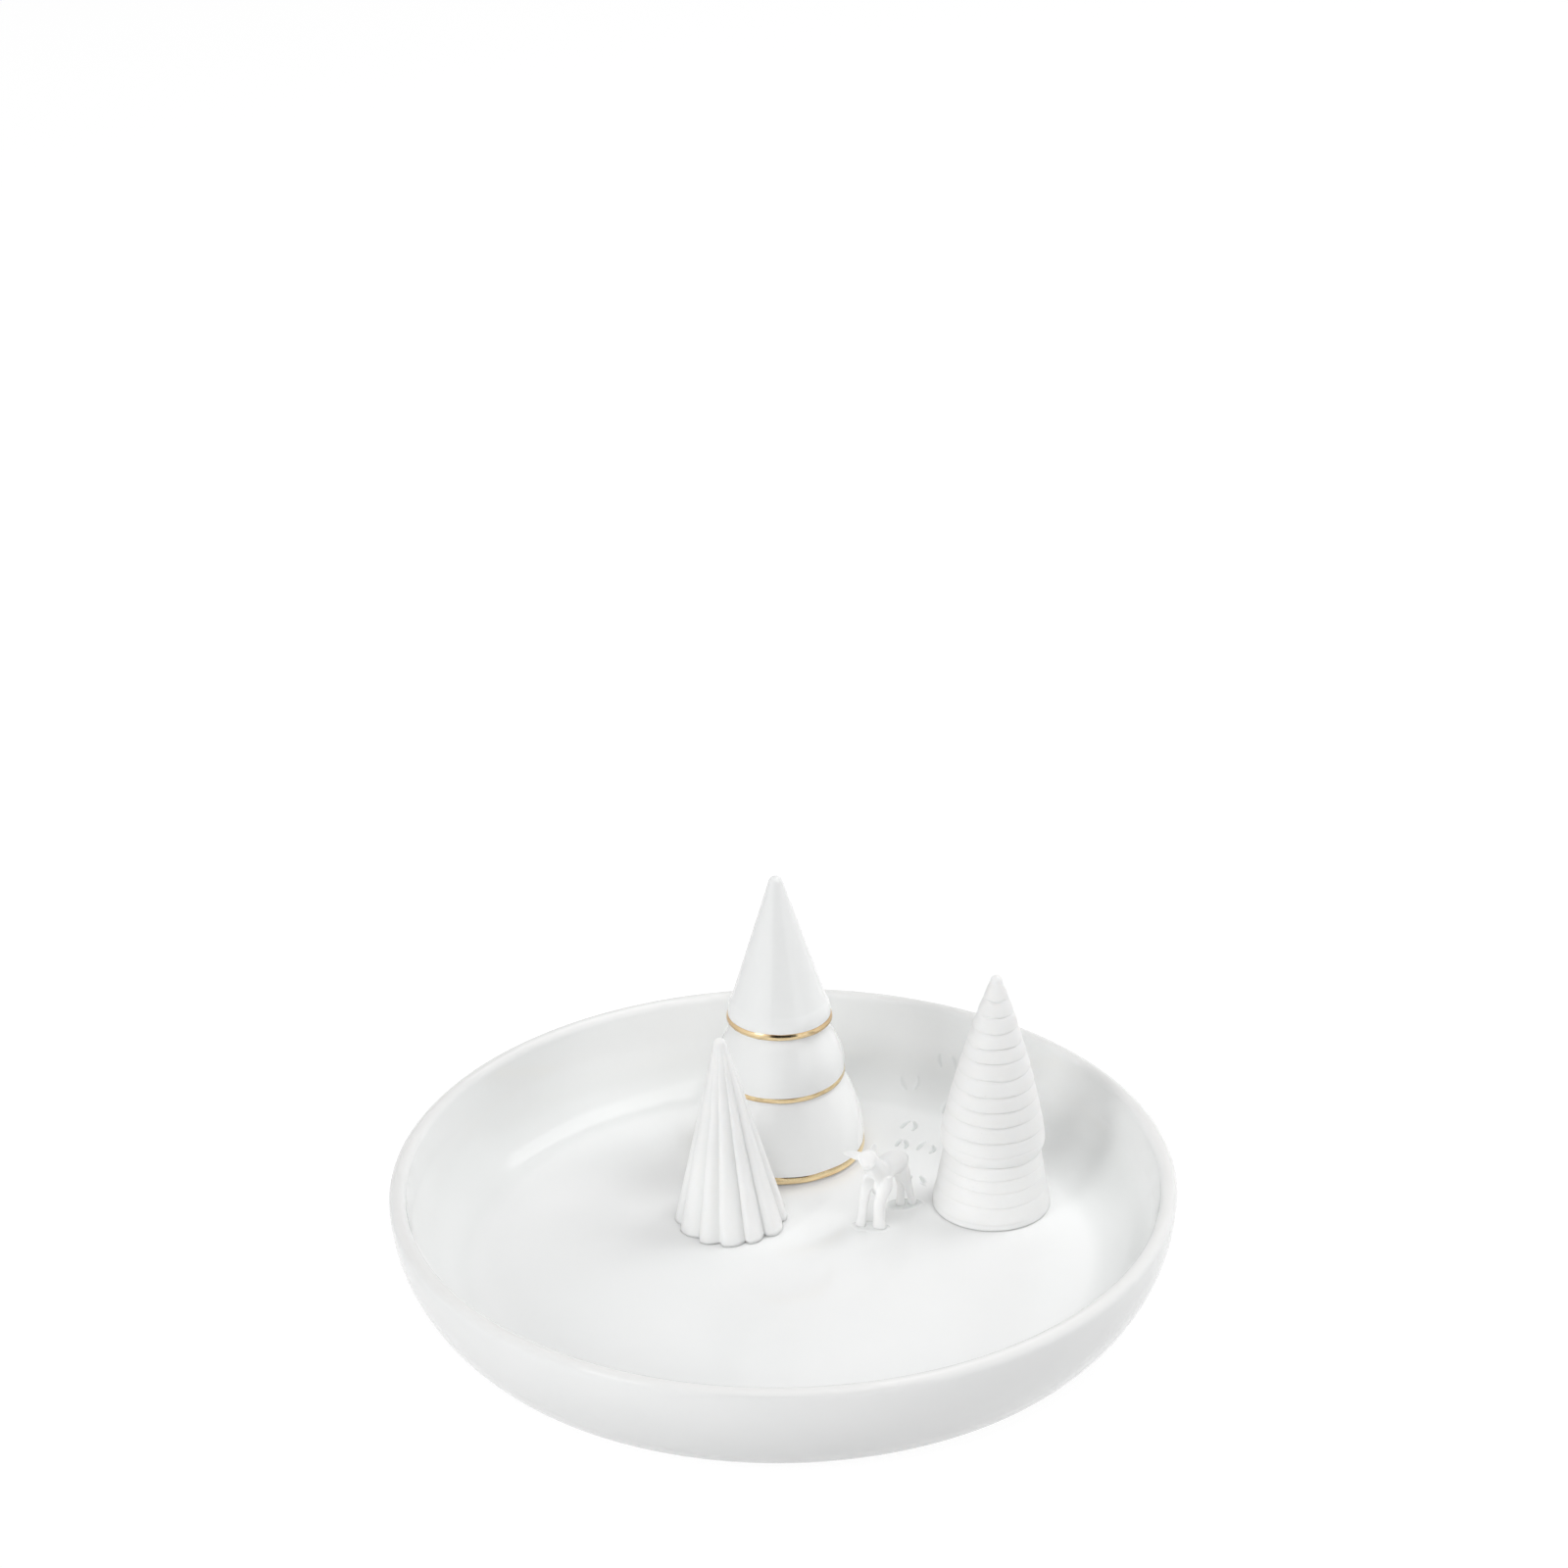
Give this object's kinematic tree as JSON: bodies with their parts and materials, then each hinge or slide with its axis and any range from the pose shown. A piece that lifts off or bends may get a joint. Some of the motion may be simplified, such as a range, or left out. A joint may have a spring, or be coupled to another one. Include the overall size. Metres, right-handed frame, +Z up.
{
  "type": "ring dish",
  "caption": "Low round ceramic dish with an upright wall, cone-shaped fir trees that hold finger rings, a small fawn and a trail of pressed hoof prints.",
  "frame": {"origin": "centre of the dish, in the plane of the table that its foot ring stands on", "axes": "+Z up, +Y from the open front of the dish to the tallest tree at the back, +X to the ringed tree's side, on the right seen from the front"},
  "size_m": [0.14, 0.14, 0.0613],
  "materials": {
    "white_glaze": "glossy clear glaze over white porcelain",
    "white_bisque": "matt unglazed white porcelain",
    "gold_lustre": "polished fired gold lustre"
  },
  "bodies": {
    "root": {"dish": "white_glaze", "tiered_tree": "white_glaze", "tiered_tree_joint": "white_glaze", "fluted_tree_joint": "white_glaze", "ringed_tree_joint": "white_glaze", "fawn_front_joint": "white_glaze", "fawn_hind_joint": "white_glaze", "gold_band_upper": "gold_lustre", "gold_band_middle": "gold_lustre", "gold_band_lower": "gold_lustre", "fluted_tree": "white_bisque", "ringed_tree": "white_bisque", "fawn": "white_bisque"}
  },
  "joints": []
}
